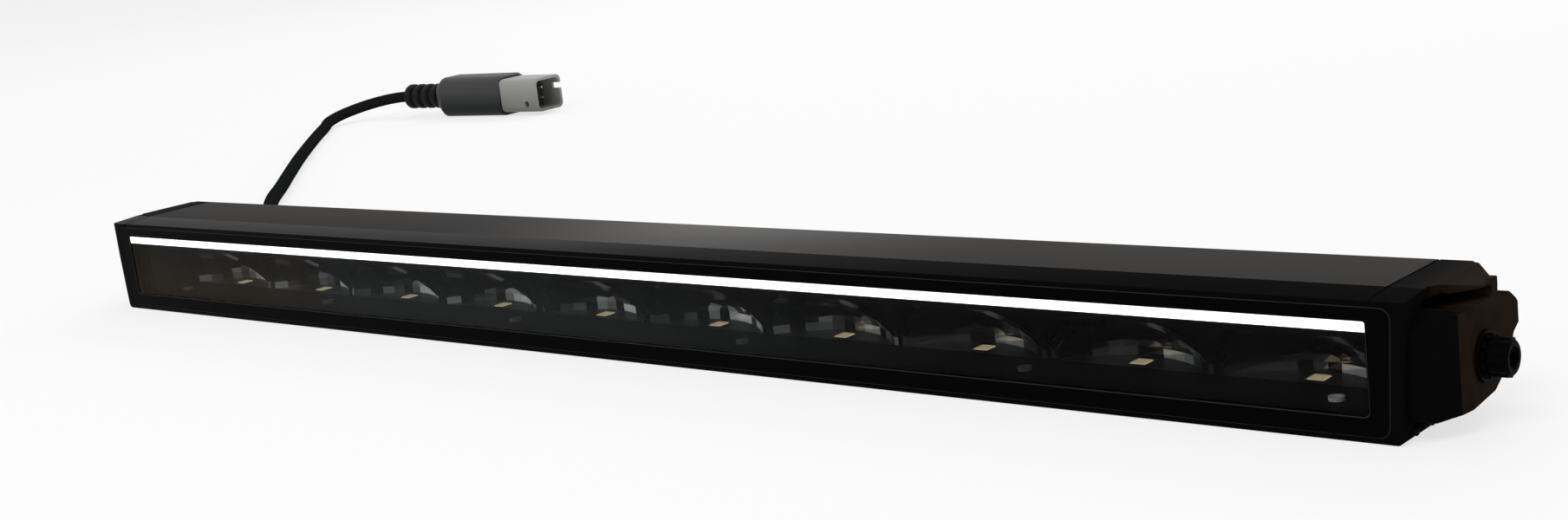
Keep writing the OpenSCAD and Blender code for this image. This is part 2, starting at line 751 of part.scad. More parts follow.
module led_board() color([0.85, 0.85, 0.83]) in_place() difference() {
    block(-row_half + 0.5, row_half - 0.5, plate_front - 0.2, rear_inner - 0.2, board_low, led_z);
    for (x = cusp_x)
        rod_z(x, reflector_screw_y, board_low - 1, led_z + 1, screw_tap_r + 0.2);
}

module led_packages() color([0.95, 0.85, 0.35]) in_place()
    for (x = led_x) {
        led_block(x, led_size / 2, led_z, led_z + 0.8);
        led_block(x, led_size / 2 - 0.4, led_z + 0.8 - e, plate_z + 0.1);
    }

module thermal_pad() color([0.55, 0.6, 0.65]) in_place() difference() {
    block(-row_half + 0.5, row_half - 0.5, plate_front - 0.2, rear_inner - 0.6, bottom_wall, board_low);
    for (x = cusp_x)
        rod_z(x, reflector_screw_y, bottom_wall - 1, board_low + 1, screw_tap_r + 0.2);
}

// Dark floor between the lens and the reflectors, with an upright end wall
end_wall_x = housing_end - 2;
module floor_trim() color([0.03, 0.03, 0.035]) in_place() difference() {
    union() {
        block(-end_wall_x, end_wall_x, floor_front, floor_back, led_z, floor_z);
        both_ends()
            block(end_wall_x - trim_t, end_wall_x, floor_front, rear_inner - 1, led_z, ceiling_z - 0.1);
        for (x = trim_x)
            rod_z(x, trim_screw_y, bottom_wall, led_z + e, post_r);
    }
    for (x = trim_x)
        rod_z(x, trim_screw_y, bottom_wall - 1, floor_z + 1, screw_tap_r + 0.2);
}
module trim_screws() color([0.45, 0.45, 0.45]) in_place()
    for (x = trim_x) small_screw(x, trim_screw_y, floor_z, bottom_wall - 1.2);

// Driver board above the ceiling trim, with its taller components
driver_mid_y = (driver_y0 + driver_y1) / 2;
driver_half = (driver_y1 - driver_y0) / 2;
driver_x0 = gland_x + driver_inset;
driver_x1 = driver_x0 + driver_length;
board_margin = 5;
slot_pitch = (driver_length - 2 * board_margin) / 10;
function slot_x(k) = driver_x0 + board_margin + k * slot_pitch;
driver_screw_x = [slot_x(0), slot_x(10)];
driver_top = driver_z + board_t;
coil_half = driver_half - 1.3;
capacitor_r = driver_half - 2.2;
module driver_board() color([0.1, 0.28, 0.14]) in_place() difference() {
    block(driver_x0, driver_x1, driver_y0, driver_y1, driver_z, driver_top);
    for (s = driver_screw_x)
        rod_z(s, driver_mid_y, driver_z - 1, driver_top + 1, screw_tap_r + 0.2);
}
module driver_coils() color([0.2, 0.2, 0.2]) in_place()
    for (k = [2, 4])
        translate([slot_x(k), driver_mid_y, driver_top])
            along_z(0, 4) polygon(rounded(box2(-coil_half, -coil_half, coil_half, coil_half), 1.6));
module driver_capacitors() color([0.3, 0.3, 0.32]) in_place()
    for (k = [6, 7, 8])
        rod_z(slot_x(k), driver_mid_y, driver_top, driver_top + 4.2, capacitor_r);
module driver_chips() color([0.05, 0.05, 0.05]) in_place()
    for (k = [1, 3, 5, 9])
        translate([slot_x(k), driver_mid_y, driver_top]) block(-2.2, 2.2, -2, 2, 0, 1.2);
module driver_screws() color([0.5, 0.5, 0.5]) in_place()
    for (s = driver_screw_x) {
        small_screw(s, driver_mid_y, driver_top, ceiling_z + 0.2);
        difference() {
            rod_z(s, driver_mid_y, ceiling_top, driver_z, 2);
            rod_z(s, driver_mid_y, ceiling_top - 1, driver_z + 1, screw_tap_r);
        }
    }

// Two leads from the gland up through the ceiling trim, and along to the driver board
lead_r = 0.9;
lead_bend = 2;
lead_top = driver_top + lead_r;
lead_offset = 1.6;
function lead_line(x, y) = concat(
    [[x, sheath_end, gland_z]],
    [for (a = [0 : 22.5 : 90])
        [x, y + lead_bend * (1 - sin(a)), gland_z + lead_bend * (1 - cos(a))]],
    [for (a = [0 : 22.5 : 90])
        [x + lead_bend * (1 - cos(a)), y, lead_top - lead_bend * (1 - sin(a))]],
    [[driver_x0 + 2, y, lead_top]]
);
module supply_leads() color([0.5, 0.05, 0.05]) in_place() {
    tube(lead_line(gland_x + lead_offset, driver_y1 - 3.8), [0, -1, 0], [1, 0, 0], lead_r, 8, [1, 1, 0]);
    tube(lead_line(gland_x - lead_offset, driver_y1 - 1.2), [0, -1, 0], [1, 0, 0], lead_r, 8, [1, 1, 0]);
}

// Breather plug with a ring of small windows
module breather_vent() color([0.03, 0.03, 0.03]) in_place() difference() {
    union() {
        rod_y(vent_x, rear_inner - 1.5, rear_face + e, gland_z, vent_r - 0.05);
        rod_y(vent_x, rear_face, rear_face + 3.2, gland_z, vent_r + 2);
    }
    for (a = [0 : 60 : 300])
        translate([vent_x, rear_face + 1.6, gland_z]) rotate([0, a, 0])
            translate([vent_r, -0.5, -0.8]) cube([3, 1, 1.6]);
}

// Cable gland: body, lock nut inside, domed nut outside
bore_r = cable_d / 2 + 0.3;
module hex_y(y0, y1)
    translate([gland_x, y0, gland_z]) rotate([-90, 0, 0]) cylinder(h = y1 - y0, r = hex_r, $fn = 6);
module cable_gland() color([0.03, 0.03, 0.03]) in_place() difference() {
    union() {
        rod_y(gland_x, rear_inner - 4.6, rear_face + e, gland_z, gland_r - 0.05);
        hex_y(rear_face, rear_face + gland_hex_t);
    }
    rod_y(gland_x, rear_inner - 6, rear_face + gland_hex_t + 1, gland_z, bore_r);
}
module gland_locknut() color([0.03, 0.03, 0.03]) in_place() difference() {
    hex_y(rear_inner - 3.8, rear_inner);
    rod_y(gland_x, rear_inner - 5, rear_inner + 1, gland_z, gland_r);
}
module gland_nut() color([0.03, 0.03, 0.03]) in_place()
    translate([gland_x, rear_face + gland_hex_t, gland_z]) rotate([-90, 0, 0]) rotate_extrude() polygon([
        [bore_r, 0],
        [hex_r - 1.2, 0],
        [hex_r - 1.2, gland_nut_t * 0.55],
        [hex_r - 1.8, gland_nut_t * 0.75],
        [hex_r - 3, gland_nut_t * 0.93],
        [hex_r - 3.8, gland_nut_t],
        [bore_r, gland_nut_t]
    ]);

// Ribbed strain relief that tapers to the cable, with the sheath inside the gland
relief_ribs = 6;
relief_r0 = cable_d / 2 + 1.7;
relief_r1 = cable_d / 2 + 0.6;
function relief_at(t) = relief_r0 + (relief_r1 - relief_r0) * t;
module strain_relief() color([0.03, 0.03, 0.03]) in_place()
    translate([gland_x, relief_y0, gland_z]) rotate([-90, 0, 0]) rotate_extrude() polygon(concat(
        [[0, sheath_end - relief_y0], [cable_d / 2, sheath_end - relief_y0], [cable_d / 2, 0]],
        [for (i = [0 : relief_ribs - 1], s = [0, 0.45, 0.55, 0.95])
            [relief_at((i + s) / relief_ribs) - (s > 0.5 ? 0.8 : 0), (i + s) / relief_ribs * relief_length]],
        [[relief_r1, relief_length], [0, relief_length]]
    ));

// Free cable: a tube swept along the route
function spline(a, b, c, d, t) = 0.5 * (
    2 * b + (c - a) * t + (2 * a - 5 * b + 4 * c - d) * t * t + (3 * b - a - 3 * c + d) * t * t * t);
function route_at(i) = i < 0 ? 2 * route[0] - route[1] :
    i >= len(route) ? 2 * route[len(route) - 1] - route[len(route) - 2] : route[i];
function steps(i) = max(1, round(norm(route_at(i + 1) - route_at(i)) / (2.4 * cable_d)));
cable_line = concat(
    [for (i = [0 : len(route) - 2], k = [0 : steps(i) - 1])
        spline(route_at(i - 1), route_at(i), route_at(i + 1), route_at(i + 2), k / steps(i))],
    [route[len(route) - 1]]
);
module cable() color([0.06, 0.06, 0.065])
    tube(cable_line, [0, 1, 0], [cos(plug_turn), sin(plug_turn), 0], cable_d / 2, cable_sides);

// Four-way plug on the cable's end, drawn along its own axis
body_x = boot_length;
shell_x = boot_length + body_length;
shell_end = shell_x + shell_length;
shell_w = body_w - 3.4;
shell_h = body_h - 4.4;
mouth_depth = 20;
mouth_floor = shell_end - mouth_depth;
insert_inset = shell_wall + 0.4;
insert_depth = 5;
pin_length = 11;
module on_plug() translate(plug_start) rotate([0, 0, plug_turn]) children();
module plug_section(x0, x1, w, h, r)
    along_x(x0, x1) polygon(rounded(box2(-w / 2, -h / 2, w / 2, h / 2), r, 4));

boot_rings = 4;
boot_r = 8;
boot_neck = 5.4;
module plug_boot() color([0.07, 0.07, 0.075]) on_plug() rotate([0, 90, 0]) rotate_extrude() polygon(concat(
    [[0, 0], [boot_r - 1, 0]],
    [for (i = [0 : boot_rings - 1]) each [
        [boot_r, i * 8 + 1],
        [boot_r, i * 8 + 4],
        [boot_r - 0.8, i * 8 + 5],
        [boot_neck, i * 8 + 5.2],
        [boot_neck, i * 8 + 7.8]
    ]],
    [[boot_r, boot_rings * 8], [boot_r, boot_length], [0, boot_length]]
));

body_corner = 7;
module plug_body() color([0.08, 0.08, 0.085]) on_plug() {
    hull() {
        plug_section(body_x, body_x + 0.5, body_w - 9, body_h - 9, body_corner - 2);
        plug_section(body_x + 8, shell_x - 2, body_w, body_h, body_corner);
        plug_section(shell_x - 2, shell_x, body_w - 1.6, body_h - 1.6, body_corner - 0.6);
    }
}

module plug_shell() color([0.6, 0.6, 0.58]) on_plug() difference() {
    plug_section(shell_x, shell_end, shell_w, shell_h, 3.6);
    plug_section(mouth_floor, shell_end + 1, shell_w - 2 * shell_wall, shell_h - 2 * shell_wall, 2.4);
    // Keyway in the far wall and latch hole in the near one
    block(shell_end - 6, shell_end + 1, shell_w / 2 - shell_wall - 1, shell_w / 2 + 1, 1.5, 5);
    rod_y(shell_end - 9, -shell_w / 2 - 1, -shell_w / 2 + shell_wall + 1, -shell_h / 2 + 5.2, 1.9);
}

pin_r = 0.9;
pin_grid = [for (y = [-3.6, 3.6], z = [-3.2, 3.2]) [y, z]];
module plug_insert() color([0.05, 0.05, 0.05]) on_plug() difference() {
    plug_section(
        mouth_floor, mouth_floor + insert_depth,
        shell_w - 2 * insert_inset, shell_h - 2 * insert_inset, 2);
    for (p = pin_grid)
        rod_x(mouth_floor - 1, mouth_floor + insert_depth + 1, p[0], p[1], pin_r + 0.1);
}
module plug_pins() color([0.75, 0.7, 0.55]) on_plug()
    for (p = pin_grid)
        translate([mouth_floor, p[0], p[1]]) rotate([0, 90, 0]) rotate_extrude() polygon([
            [0, 0], [pin_r, 0], [pin_r, pin_length - 1], [pin_r - 0.4, pin_length], [0, pin_length]]);

housing();
end_cap_left();
end_cap_right();
cap_gaskets();
cap_screws();
boss_inserts();
side_bolts();
toothed_washers();
plain_washers();
bezel();
lens();
lens_seal();
light_guide();
guide_holder();
guide_cover();
strip_board();
strip_leds();
reflectors();
reflector_screws();
led_board();
led_packages();
thermal_pad();
floor_trim();
trim_screws();
driver_board();
driver_coils();
driver_capacitors();
driver_chips();
driver_screws();
supply_leads();
breather_vent();
cable_gland();
gland_nut();
gland_locknut();
strain_relief();
cable();
plug_boot();
plug_body();
plug_shell();
plug_insert();
plug_pins();
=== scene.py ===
from math import cos, pi, radians, sin
import bmesh
import bpy
from mathutils import Matrix, Vector


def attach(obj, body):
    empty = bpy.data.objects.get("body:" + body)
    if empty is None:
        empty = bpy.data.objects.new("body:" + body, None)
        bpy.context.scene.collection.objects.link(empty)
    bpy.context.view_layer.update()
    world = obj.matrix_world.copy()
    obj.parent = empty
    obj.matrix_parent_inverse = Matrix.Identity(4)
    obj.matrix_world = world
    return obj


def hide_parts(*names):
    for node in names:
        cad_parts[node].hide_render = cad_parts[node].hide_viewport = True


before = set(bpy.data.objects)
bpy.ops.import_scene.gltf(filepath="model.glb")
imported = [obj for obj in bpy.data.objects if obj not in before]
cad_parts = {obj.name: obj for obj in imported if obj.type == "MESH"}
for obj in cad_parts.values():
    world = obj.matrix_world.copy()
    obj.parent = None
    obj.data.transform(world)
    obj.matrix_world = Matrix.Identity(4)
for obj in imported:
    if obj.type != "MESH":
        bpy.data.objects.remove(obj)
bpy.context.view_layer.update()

MM = 0.001

# Camera at the photograph's standpoint, found from the lamp's straight edges. It stands
# 450 mm in front of the window near the right end and looks down along the lamp.
standpoint = (0.4752, -0.4521, 0.1534)
lens_mm = 47.98
turn_left = radians(42.255)
look_down = radians(11.441)
roll = radians(-6.792)
camera = bpy.data.objects.new("camera", bpy.data.cameras.new("camera"))
camera.data.lens = lens_mm
camera.data.sensor_width = 36
camera.data.clip_start = 0.01
camera.matrix_world = (
    Matrix.Translation(standpoint)
    @ Matrix.Rotation(turn_left, 4, "Z")
    @ Matrix.Rotation(pi / 2 - look_down, 4, "X")
    @ Matrix.Rotation(roll, 4, "Z")
)
bpy.context.scene.collection.objects.link(camera)
bpy.context.scene.camera = camera


# The cable is a round two-core jacketed lead, extruded in satin black rubber. It leaves the
# gland behind the left end, drops to the ground, and rises again into the plug's boot.
class Term:
    """A value in a material. Sums and products of terms add the Math nodes for them."""

    def __init__(self, finish, socket):
        self.finish = finish
        self.socket = socket

    def maths(self, operation, first, second=0.0, clamp=False):
        settings = {"operation": operation, "use_clamp": clamp}
        return self.finish.node("ShaderNodeMath", settings, {0: first, 1: second})

    def __add__(self, other):
        return self.maths("ADD", self, other)

    __radd__ = __add__

    def __sub__(self, other):
        return self.maths("SUBTRACT", self, other)

    def __rsub__(self, other):
        return self.maths("SUBTRACT", other, self)

    def __mul__(self, other):
        return self.maths("MULTIPLY", self, other)

    __rmul__ = __mul__

    def __lt__(self, other):
        return self.maths("LESS_THAN", self, other)

    def __abs__(self):
        return self.maths("ABSOLUTE", self)

    def clamped(self):
        return self.maths("ADD", self, 0.0, clamp=True)


class Finish:
    """One material. Its fixed values stand on the shader, and what varies comes from nodes."""

    def __init__(self, name, **fixed):
        self.material = bpy.data.materials.new(name)
        self.material.use_nodes = True
        self.tree = self.material.node_tree
        self.shader = self.tree.nodes["Principled BSDF"]
        for words, value in fixed.items():
            self.socket(words).default_value = value

    def socket(self, words):
        """The shader's socket for a keyword, such as Base Color for base_color."""
        return self.shader.inputs[words.replace("_", " ").title().replace("Ior", "IOR")]

    def node(self, kind, settings=None, sockets=None, out=0):
        made = self.tree.nodes.new(kind)
        for name, value in (settings or {}).items():
            setattr(made, name, value)
        for name, value in (sockets or {}).items():
            self.join(value, made.inputs[name])
        return Term(self, made.outputs[out])

    def join(self, value, socket):
        if isinstance(value, Term):
            self.tree.links.new(value.socket, socket)
        else:
            socket.default_value = value

    def drive(self, **sockets):
        for words, value in sockets.items():
            self.join(value, self.socket(words))

    def place(self, scale=(1, 1, 1)):
        """Object coordinates, stretched, so that one unit is a millimetre."""
        where = self.node("ShaderNodeTexCoord", out="Object")
        size = tuple(1000 * s for s in scale)
        return self.node("ShaderNodeVectorMath", {"operation": "MULTIPLY"}, {0: where, 1: size})

    def along(self, axis):
        """Millimetres along x, y or z, as 0, 1 or 2."""
        return self.node("ShaderNodeSeparateXYZ", None, {0: self.place()}, out=axis)

    def ramp(self, axis, start, end):
        """Rises from 0 at one place on an axis to 1 at another, both in millimetres."""
        return ((self.along(axis) - start) * (1 / (end - start))).clamped()

    def noise(self, grain, detail=3, stretch=(1, 1, 1)):
        """Noise from 0 to 1, with grains of about this many millimetres."""
        sockets = {"Vector": self.place(stretch), "Scale": 1 / grain, "Detail": detail}
        return self.node("ShaderNodeTexNoise", None, sockets)

    def blend(self, share, first, second):
        sockets = {0: share, 6: (*first, 1) if isinstance(first, tuple) else first}
        sockets[7] = (*second, 1) if isinstance(second, tuple) else second
        return self.node("ShaderNodeMix", {"data_type": "RGBA"}, sockets, out=2)

    def mottled(self, grain, first, second):
        """Two tones, mixed in grains of about this many millimetres."""
        return self.blend(self.noise(grain), first, second)

    def relief(self, height, depth, strength):
        """A surface normal for a height of 0 to 1, this many millimetres deep."""
        sockets = {"Height": height, "Distance": depth * MM, "Strength": strength}
        return self.node("ShaderNodeBump", None, sockets)


jacket = Finish("cable_jacket", specular_ior_level=0.0)
scuffs = jacket.noise(3)
jacket.drive(
    base_color=jacket.blend(scuffs, (0.0065, 0.0070, 0.0072), (0.0125, 0.0132, 0.0135)),
    roughness=scuffs * 0.18 + 0.38,
    normal=jacket.relief(jacket.noise(0.8, 4), 0.05, 0.5),
)

cable_diameter = 7 * MM
route = [
    (-206, 61.7, 14.5),
    (-206, 72, 14.2),
    (-208.5, 85, 13),
    (-216, 96, 11),
    (-228, 103.5, 8.5),
    (-242, 107, 6.2),
    (-262, 107, 4.3),
    (-288, 104, 3.6),
    (-316, 102, 3.6),
    (-344, 106, 3.6),
    (-370, 118, 3.6),
    (-395, 136, 3.6),
    (-420, 156, 3.6),
    (-447, 180, 3.6),
    (-484, 212, 3.6),
    (-527, 249.5, 3.6),
    (-561, 280, 3.6),
    (-596.5, 312.5, 3.6),
    (-618, 332.5, 3.6),
    (-638, 351.5, 3.6),
    (-655, 367.5, 4.2),
    (-661, 382, 6.2),
    (-659.5, 396, 8.6),
    (-652.5, 407.5, 10.8),
    (-641, 415, 12.3),
    (-628.5, 417.5, 12.7),
]


def smooth_line(points, steps=6):
    """A smooth line through every point of a listed route."""
    points = [Vector(p) * MM for p in points]
    ends = [2 * points[0] - points[1], *points, 2 * points[-1] - points[-2]]
    line = []
    for a, b, c, d in zip(ends, ends[1:], ends[2:], ends[3:]):
        for step in range(steps):
            t = step / steps
            bend = (2 * a - 5 * b + 4 * c - d) * t * t + (3 * b - a - 3 * c + d) * t**3
            line.append((2 * b + (c - a) * t + bend) / 2)
    return [*line, points[-1]]


cable_line = smooth_line(route)
cable_curve = bpy.data.curves.new("cable_lead", "CURVE")
cable_curve.dimensions = "3D"
cable_curve.bevel_depth = cable_diameter / 2
cable_curve.bevel_resolution = 6
cable_curve.use_fill_caps = True
lead = cable_curve.splines.new("POLY")
lead.points.add(len(cable_line) - 1)
for point, where in zip(lead.points, cable_line):
    point.co = (*where, 1)
cable = bpy.data.objects.new("cable_lead", cable_curve)
bpy.context.scene.collection.objects.link(cable)
cable.data.materials.append(jacket.material)
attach(cable, "root")
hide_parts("cable")


# The housing is one aluminium extrusion, sawn square at both ends and powder coated in fine
# satin black, a little smoother in the middle of the top where hands have held it. Its back
# has cooling fins, and lips at its front hold the bezel.
def eased(node, name, width, finish, segments=2, angle=28):
    """A copy of a CAD node that stands for it, with sharp edges eased by this many millimetres."""
    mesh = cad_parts[node].data.copy()
    mesh.name = name
    shape = bmesh.new()
    shape.from_mesh(mesh)
    same_place, same_plane = 0.002 * MM, radians(0.5)
    bmesh.ops.remove_doubles(shape, verts=shape.verts, dist=same_place)
    if width:
        corners, edges = shape.verts, shape.edges
        bmesh.ops.dissolve_limit(shape, angle_limit=same_plane, verts=corners, edges=edges)
    for face in shape.faces:
        face.smooth = True
    shape.to_mesh(mesh)
    shape.free()
    mesh.set_sharp_from_angle(angle=radians(angle))
    mesh.materials.clear()
    mesh.materials.append(finish.material)
    piece = bpy.data.objects.new(name, mesh)
    bpy.context.scene.collection.objects.link(piece)
    if width:
        easing = piece.modifiers.new("eased edges", "BEVEL")
        easing.width = width * MM
        easing.segments = segments
        easing.limit_method = "ANGLE"
        easing.angle_limit = radians(angle)
        easing.harden_normals = True
    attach(piece, "root")
    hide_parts(node)
    return piece


coat = Finish("powder_coat", specular_ior_level=0.012)
coat_grain = coat.noise(0.45, 2)
coat_cloud = coat.noise(30, 3, (0.25, 1, 1))
held_at, held_reach = 27, 125
nearness = (1 - abs(coat.along(0) - held_at) * (1 / held_reach)).clamped()
handled = nearness * nearness * (3 - nearness * 2)
coat.drive(
    base_color=coat.blend(coat_cloud, (0.013, 0.0108, 0.0088), (0.020, 0.0170, 0.0142)),
    roughness=coat_cloud * 0.12 + 0.46 - handled * 0.26,
    normal=coat.relief(coat_grain, 0.03, 0.55),
)
housing = eased("housing", "coated_housing", 0.25, coat)

# The slope along the front edge is painted far blacker than the coat, a painted shade, and it is
# rougher towards the right end.
band = Finish("front_band_painted_shade", specular_ior_level=0.012)
toward_right = band.ramp(0, -20, 202.2)
band.drive(
    base_color=band.mottled(0.6, (0.0016, 0.0016, 0.0017), (0.0030, 0.0030, 0.0031)),
    roughness=toward_right * 0.6 + 0.36,
)
band_back = -10.85 * MM


def banded(piece):
    """Gives the faces in front of the top plane, outside the mouth, the band's painted shade."""
    piece.data.materials.append(band.material)
    for face in piece.data.polygons:
        if face.center.y < band_back:
            face.material_index = 1


banded(housing)

# Eased edges get a paler colour than the faces, a painted highlight.
painted_edge_highlight = Finish("painted_edge_highlight", roughness=0.5, specular_ior_level=0.1)
painted_edge_highlight.drive(
    base_color=painted_edge_highlight.mottled(4, (0.006, 0.006, 0.006), (0.018, 0.018, 0.018)),
)


def lined(piece):
    """Shows a piece's eased edges a little paler than its faces, a painted highlight along the
    edges.
    """
    piece.data.materials.append(painted_edge_highlight.material)
    piece.modifiers["eased edges"].material = len(piece.data.materials) - 1


lined(housing)


# The end caps are pressure die cast, one piece each with the boss for the side bolt, and
# coated like the housing but over a slightly rougher skin.
cast = Finish("cast_coat", specular_ior_level=0.002)
cast_grain = cast.noise(0.6, 3)
cast_skin = cast.noise(9, 2)
# The boss is tinted brown, a painted reflection of brown surroundings.
boss_foot, tint_depth = 264, 11.1
boss_painted_reflection = ((abs(cast.along(0)) - boss_foot) * (1 / tint_depth)).clamped()
cast.drive(
    base_color=cast.blend(
        boss_painted_reflection,
        cast.blend(cast_skin, (0.0006, 0.0006, 0.0005), (0.0018, 0.0018, 0.0016)),
        cast.blend(cast_skin, (0.007, 0.0045, 0.0032), (0.022, 0.0135, 0.0088)),
    ),
    roughness=cast_skin * 0.16 + 0.42,
    normal=cast.relief(cast_grain + cast_skin * 2, 0.06, 0.5),
)
# The caps' faces in front of the top plane take the front band's painted shade.
for side in ("right", "left"):
    banded(eased("end_cap_" + side, "cast_cap_" + side, 0.3, cast))


# The cap gaskets are die-cut from black silicone sheet, clamped between extrusion and cap.
def dressed(node, finish):
    """Gives a CAD node, which keeps its shape, its own finish."""
    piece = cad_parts[node]
    for slot in piece.material_slots:
        slot.material = finish.material
    return piece


silicone = Finish("black_silicone", specular_ior_level=0.0)
dust = silicone.noise(0.7)
silicone.drive(
    base_color=silicone.blend(dust, (0.0020, 0.0020, 0.0020), (0.0040, 0.0040, 0.0040)),
    roughness=dust * 0.2 + 0.6,
)
for node in ("cap_gaskets", "lens_seal"):
    dressed(node, silicone)


# The bolts, their washers and the cap screws are steel, blackened by chemical oxide that is
# a little thinner where tools and teeth have rubbed. Ridges round the bolt heads give a grip.
black_steel = Finish("blackened_steel", specular_ior_level=0.01)
rubbed = black_steel.noise(0.9, 4)
black_steel.drive(
    base_color=black_steel.blend(rubbed, (0.0006, 0.0006, 0.0006), (0.0024, 0.0023, 0.0022)),
    roughness=rubbed * 0.25 + 0.32,
)
bolts = eased("side_bolts", "socket_bolts", 0.15, black_steel)
head_middle, head_radius, head_length = 283.3, 4.05, 4.1
bolt_axis = Vector((0, -0.2, 17)) * MM
ridges, ridge_radius = 12, 0.85 * MM
knurl = bmesh.new()
knurl.from_mesh(bolts.data)
for end in (-1, 1):
    head = Vector((end * head_middle, 0, 0)) * MM + bolt_axis
    for ridge in range(ridges):
        angle = ridge * 2 * pi / ridges
        rim = head + head_radius * MM * Vector((0, cos(angle), sin(angle)))
        bmesh.ops.create_cone(
            knurl,
            cap_ends=True,
            segments=10,
            radius1=ridge_radius,
            radius2=ridge_radius,
            depth=head_length * MM,
            matrix=Matrix.Translation(rim) @ Matrix.Rotation(pi / 2, 4, "Y"),
        )
knurl.to_mesh(bolts.data)
knurl.free()
eased("plain_washers", "flat_washers", 0.12, black_steel)
eased("toothed_washers", "tooth_washers", 0.1, black_steel)
eased("cap_screws", "sunk_cap_screws", 0.1, black_steel)


# The thread inserts and the inner screws are zinc-plated steel, with the faint mottling that
# plating has. The trim screws are plated; their colour runs from dark grey to white towards the
# right end, a painted highlight that makes the right one the brightest.
zinc = Finish("zinc_plating", metallic=1.0)
mottle = zinc.noise(1.2, 4)
zinc.drive(
    base_color=zinc.blend(mottle, (0.46, 0.46, 0.44), (0.60, 0.59, 0.55)),
    roughness=mottle * 0.2 + 0.25,
)
for node in ("boss_inserts", "reflector_screws", "driver_screws"):
    dressed(node, zinc)
plating = Finish("plating_painted_glint", metallic=0.0, roughness=0.45)
# Whiter towards the right end: a painted highlight.
painted_glint_right = plating.ramp(0, 180, 230)
plating.drive(
    base_color=plating.blend(
        painted_glint_right * 0.9 + plating.noise(0.8) * 0.1, (0.10, 0.10, 0.10), (1.0, 1.0, 1.0)
    ),
)
eased("trim_screws", "bright_trim_screws", 0.1, plating)


# The bezel is moulded in gloss black and clipped between the housing's lips. Its face is
# smooth, with a faint flow of the mould along its length.
piano = Finish("gloss_black", specular_ior_level=0.015)
flow = piano.noise(40, 2, (0.1, 1, 1))
piano.drive(
    base_color=piano.blend(flow, (0.0004, 0.0004, 0.0005), (0.0010, 0.0010, 0.0011)),
    roughness=flow * 0.06 + 0.12,
)
bezel = eased("bezel", "gloss_bezel", 0.25, piano)
lined(bezel)


# The lens is one clear polycarbonate moulding with a smoke tint. Its window stands up into
# the bezel. Its hard-coated face is smooth. A pale film is painted over it, thicker at the
# window's foot and towards the left end and brown at that end: a painted reflection of the room.
smoke = Finish("smoked_lens", specular_ior_level=0.08, alpha=0.32)
haze_and_reflection = smoke.noise(25, 3)
far_left = smoke.ramp(0, -130, -180)
painted_reflection_tint = smoke.blend(far_left, (0.028, 0.031, 0.031), (0.036, 0.026, 0.016))
reflection_share = smoke.ramp(0, 140, -26.7) * (smoke.ramp(2, 24, 4) * 0.6 + haze_and_reflection * 0.8)
smoke.drive(
    base_color=smoke.blend(reflection_share, (0.002, 0.002, 0.0025), painted_reflection_tint),
    roughness=haze_and_reflection * 0.03 + 0.02,
)
dressed("lens", smoke)


# The light guide is a milky bar that glows evenly when lit, so it shows as one white line.
glow = Finish("lit_guide", base_color=(0.9, 0.9, 0.9, 1), roughness=0.3, emission_strength=1.6)
glow.drive(emission_color=glow.blend(glow.noise(60, 1), (1.0, 1.0, 1.0), (0.97, 0.985, 1.0)))
dressed("light_guide", glow)


# The trims are injection moulded in satin black with a fine spark-eroded texture, and so are
# the breather, the gland and its nuts.
satin = Finish("satin_black", specular_ior_level=0.04)
spark = satin.noise(0.35, 2)
satin.drive(
    base_color=satin.blend(spark, (0.0030, 0.0028, 0.0028), (0.0065, 0.0062, 0.0062)),
    roughness=spark * 0.15 + 0.42,
    normal=satin.relief(spark, 0.02, 0.4),
)
for node in ("guide_holder", "guide_cover", "floor_trim", "gland_locknut"):
    dressed(node, satin)
eased("breather_vent", "moulded_breather", 0.25, satin)
gland = eased("cable_gland", "moulded_gland", 0.3, satin)
gland_nut = eased("gland_nut", "domed_gland_nut", 0.2, satin)


# The reflectors are one moulding, vacuum metallised, whose ten half bowls are faceted. Each
# facet's
# patch of light is painted: a set tone per patch turns its colour from dark brown to silver, and
# the brightest patches glow, as painted reflections and glints. The base plate under them is left
# bare.
mirror = Finish("metallised", emission_strength=0.35)
breath = mirror.noise(6, 3)
plate_top = 5.34
bare = mirror.along(2) < plate_top
painted_light = mirror.node("ShaderNodeAttribute", {"attribute_name": "painted_facet_light"}, out="Fac")
painted_reflection_colour = mirror.blend(painted_light, (0.035, 0.022, 0.020), (0.93, 0.97, 0.98))
